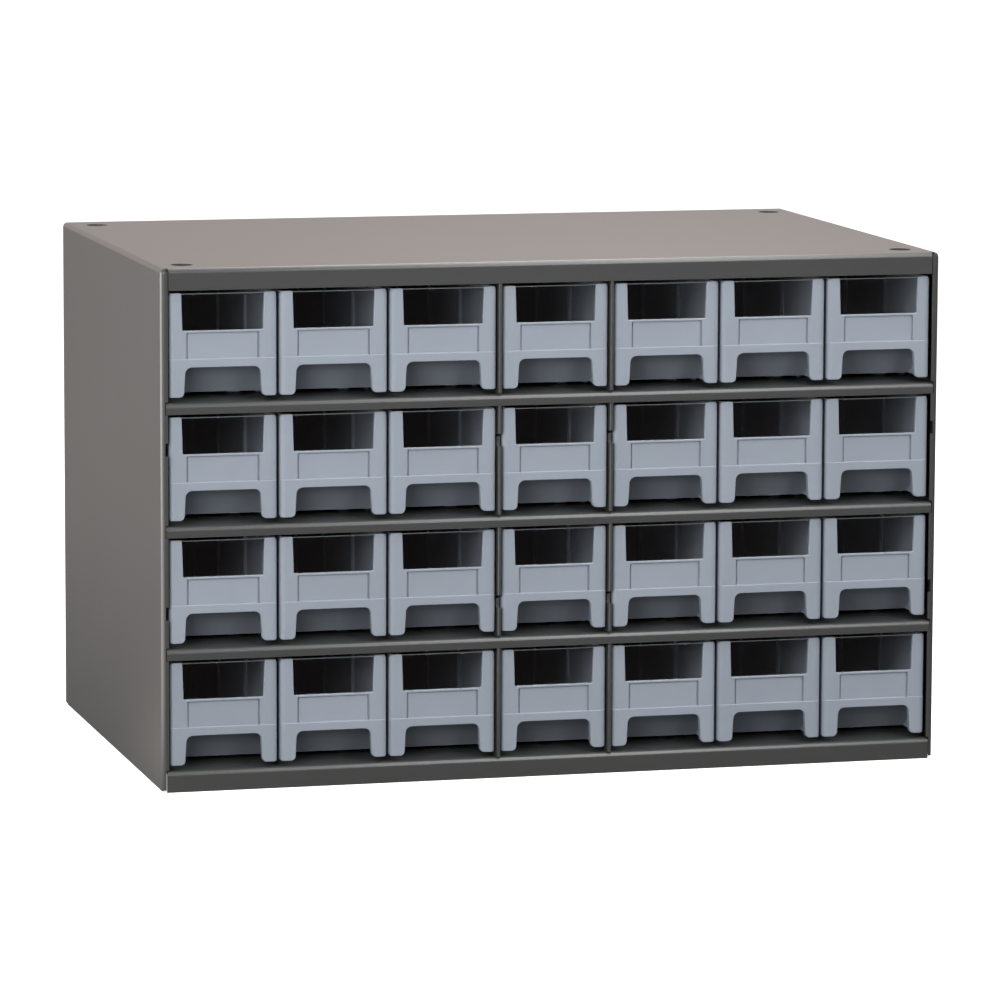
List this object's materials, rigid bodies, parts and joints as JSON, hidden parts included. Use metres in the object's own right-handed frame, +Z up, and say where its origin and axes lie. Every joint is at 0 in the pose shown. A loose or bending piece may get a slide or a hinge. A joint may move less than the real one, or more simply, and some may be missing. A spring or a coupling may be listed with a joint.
{
  "type": "parts bin cabinet",
  "caption": "Steel cabinet of small pull-out parts drawers in rows, each with a clear front window, a label panel and an arched finger pull.",
  "frame": {"origin": "middle of the footprint, on the surface that the cabinet stands on", "axes": "+X to the right seen from the front, +Y to the back, +Z up; the drawers open towards -Y"},
  "size_m": [0.4318, 0.2794, 0.2794],
  "materials": {
    "painted_steel": "smooth baked enamel with a low gloss",
    "drawer_plastic": "moulded, satin",
    "clear_window": "clear moulded sheet, polished"
  },
  "bodies": {
    "cabinet": {"case_wrap": "painted_steel", "back_and_base": "painted_steel", "shelves": "painted_steel", "dividers": "painted_steel"},
    "drawer_r1_c1": {"drawer_r1_c1": "drawer_plastic", "window_r1_c1": "clear_window"},
    "drawer_r1_c2": {"drawer_r1_c2": "drawer_plastic", "window_r1_c2": "clear_window"},
    "drawer_r1_c3": {"drawer_r1_c3": "drawer_plastic", "window_r1_c3": "clear_window"},
    "drawer_r1_c4": {"drawer_r1_c4": "drawer_plastic", "window_r1_c4": "clear_window"},
    "drawer_r1_c5": {"drawer_r1_c5": "drawer_plastic", "window_r1_c5": "clear_window"},
    "drawer_r1_c6": {"drawer_r1_c6": "drawer_plastic", "window_r1_c6": "clear_window"},
    "drawer_r1_c7": {"drawer_r1_c7": "drawer_plastic", "window_r1_c7": "clear_window"},
    "drawer_r2_c1": {"drawer_r2_c1": "drawer_plastic", "window_r2_c1": "clear_window"},
    "drawer_r2_c2": {"drawer_r2_c2": "drawer_plastic", "window_r2_c2": "clear_window"},
    "drawer_r2_c3": {"drawer_r2_c3": "drawer_plastic", "window_r2_c3": "clear_window"},
    "drawer_r2_c4": {"drawer_r2_c4": "drawer_plastic", "window_r2_c4": "clear_window"},
    "drawer_r2_c5": {"drawer_r2_c5": "drawer_plastic", "window_r2_c5": "clear_window"},
    "drawer_r2_c6": {"drawer_r2_c6": "drawer_plastic", "window_r2_c6": "clear_window"},
    "drawer_r2_c7": {"drawer_r2_c7": "drawer_plastic", "window_r2_c7": "clear_window"},
    "drawer_r3_c1": {"drawer_r3_c1": "drawer_plastic", "window_r3_c1": "clear_window"},
    "drawer_r3_c2": {"drawer_r3_c2": "drawer_plastic", "window_r3_c2": "clear_window"},
    "drawer_r3_c3": {"drawer_r3_c3": "drawer_plastic", "window_r3_c3": "clear_window"},
    "drawer_r3_c4": {"drawer_r3_c4": "drawer_plastic", "window_r3_c4": "clear_window"},
    "drawer_r3_c5": {"drawer_r3_c5": "drawer_plastic", "window_r3_c5": "clear_window"},
    "drawer_r3_c6": {"drawer_r3_c6": "drawer_plastic", "window_r3_c6": "clear_window"},
    "drawer_r3_c7": {"drawer_r3_c7": "drawer_plastic", "window_r3_c7": "clear_window"},
    "drawer_r4_c1": {"drawer_r4_c1": "drawer_plastic", "window_r4_c1": "clear_window"},
    "drawer_r4_c2": {"drawer_r4_c2": "drawer_plastic", "window_r4_c2": "clear_window"},
    "drawer_r4_c3": {"drawer_r4_c3": "drawer_plastic", "window_r4_c3": "clear_window"},
    "drawer_r4_c4": {"drawer_r4_c4": "drawer_plastic", "window_r4_c4": "clear_window"},
    "drawer_r4_c5": {"drawer_r4_c5": "drawer_plastic", "window_r4_c5": "clear_window"},
    "drawer_r4_c6": {"drawer_r4_c6": "drawer_plastic", "window_r4_c6": "clear_window"},
    "drawer_r4_c7": {"drawer_r4_c7": "drawer_plastic", "window_r4_c7": "clear_window"}
  },
  "joints": [
    {"name": "slide_r1_c1", "type": "slide", "parent": "cabinet", "child": "drawer_r1_c1", "axis": [0, -1, 0], "range_m": [0, 0.2743]},
    {"name": "slide_r1_c2", "type": "slide", "parent": "cabinet", "child": "drawer_r1_c2", "axis": [0, -1, 0], "range_m": [0, 0.2743]},
    {"name": "slide_r1_c3", "type": "slide", "parent": "cabinet", "child": "drawer_r1_c3", "axis": [0, -1, 0], "range_m": [0, 0.2743]},
    {"name": "slide_r1_c4", "type": "slide", "parent": "cabinet", "child": "drawer_r1_c4", "axis": [0, -1, 0], "range_m": [0, 0.2743]},
    {"name": "slide_r1_c5", "type": "slide", "parent": "cabinet", "child": "drawer_r1_c5", "axis": [0, -1, 0], "range_m": [0, 0.2743]},
    {"name": "slide_r1_c6", "type": "slide", "parent": "cabinet", "child": "drawer_r1_c6", "axis": [0, -1, 0], "range_m": [0, 0.2743]},
    {"name": "slide_r1_c7", "type": "slide", "parent": "cabinet", "child": "drawer_r1_c7", "axis": [0, -1, 0], "range_m": [0, 0.2743]},
    {"name": "slide_r2_c1", "type": "slide", "parent": "cabinet", "child": "drawer_r2_c1", "axis": [0, -1, 0], "range_m": [0, 0.2743]},
    {"name": "slide_r2_c2", "type": "slide", "parent": "cabinet", "child": "drawer_r2_c2", "axis": [0, -1, 0], "range_m": [0, 0.2743]},
    {"name": "slide_r2_c3", "type": "slide", "parent": "cabinet", "child": "drawer_r2_c3", "axis": [0, -1, 0], "range_m": [0, 0.2743]},
    {"name": "slide_r2_c4", "type": "slide", "parent": "cabinet", "child": "drawer_r2_c4", "axis": [0, -1, 0], "range_m": [0, 0.2743]},
    {"name": "slide_r2_c5", "type": "slide", "parent": "cabinet", "child": "drawer_r2_c5", "axis": [0, -1, 0], "range_m": [0, 0.2743]},
    {"name": "slide_r2_c6", "type": "slide", "parent": "cabinet", "child": "drawer_r2_c6", "axis": [0, -1, 0], "range_m": [0, 0.2743]},
    {"name": "slide_r2_c7", "type": "slide", "parent": "cabinet", "child": "drawer_r2_c7", "axis": [0, -1, 0], "range_m": [0, 0.2743]},
    {"name": "slide_r3_c1", "type": "slide", "parent": "cabinet", "child": "drawer_r3_c1", "axis": [0, -1, 0], "range_m": [0, 0.2743]},
    {"name": "slide_r3_c2", "type": "slide", "parent": "cabinet", "child": "drawer_r3_c2", "axis": [0, -1, 0], "range_m": [0, 0.2743]},
    {"name": "slide_r3_c3", "type": "slide", "parent": "cabinet", "child": "drawer_r3_c3", "axis": [0, -1, 0], "range_m": [0, 0.2743]},
    {"name": "slide_r3_c4", "type": "slide", "parent": "cabinet", "child": "drawer_r3_c4", "axis": [0, -1, 0], "range_m": [0, 0.2743]},
    {"name": "slide_r3_c5", "type": "slide", "parent": "cabinet", "child": "drawer_r3_c5", "axis": [0, -1, 0], "range_m": [0, 0.2743]},
    {"name": "slide_r3_c6", "type": "slide", "parent": "cabinet", "child": "drawer_r3_c6", "axis": [0, -1, 0], "range_m": [0, 0.2743]},
    {"name": "slide_r3_c7", "type": "slide", "parent": "cabinet", "child": "drawer_r3_c7", "axis": [0, -1, 0], "range_m": [0, 0.2743]},
    {"name": "slide_r4_c1", "type": "slide", "parent": "cabinet", "child": "drawer_r4_c1", "axis": [0, -1, 0], "range_m": [0, 0.2743]},
    {"name": "slide_r4_c2", "type": "slide", "parent": "cabinet", "child": "drawer_r4_c2", "axis": [0, -1, 0], "range_m": [0, 0.2743]},
    {"name": "slide_r4_c3", "type": "slide", "parent": "cabinet", "child": "drawer_r4_c3", "axis": [0, -1, 0], "range_m": [0, 0.2743]},
    {"name": "slide_r4_c4", "type": "slide", "parent": "cabinet", "child": "drawer_r4_c4", "axis": [0, -1, 0], "range_m": [0, 0.2743]},
    {"name": "slide_r4_c5", "type": "slide", "parent": "cabinet", "child": "drawer_r4_c5", "axis": [0, -1, 0], "range_m": [0, 0.2743]},
    {"name": "slide_r4_c6", "type": "slide", "parent": "cabinet", "child": "drawer_r4_c6", "axis": [0, -1, 0], "range_m": [0, 0.2743]},
    {"name": "slide_r4_c7", "type": "slide", "parent": "cabinet", "child": "drawer_r4_c7", "axis": [0, -1, 0], "range_m": [0, 0.2743]}
  ]
}
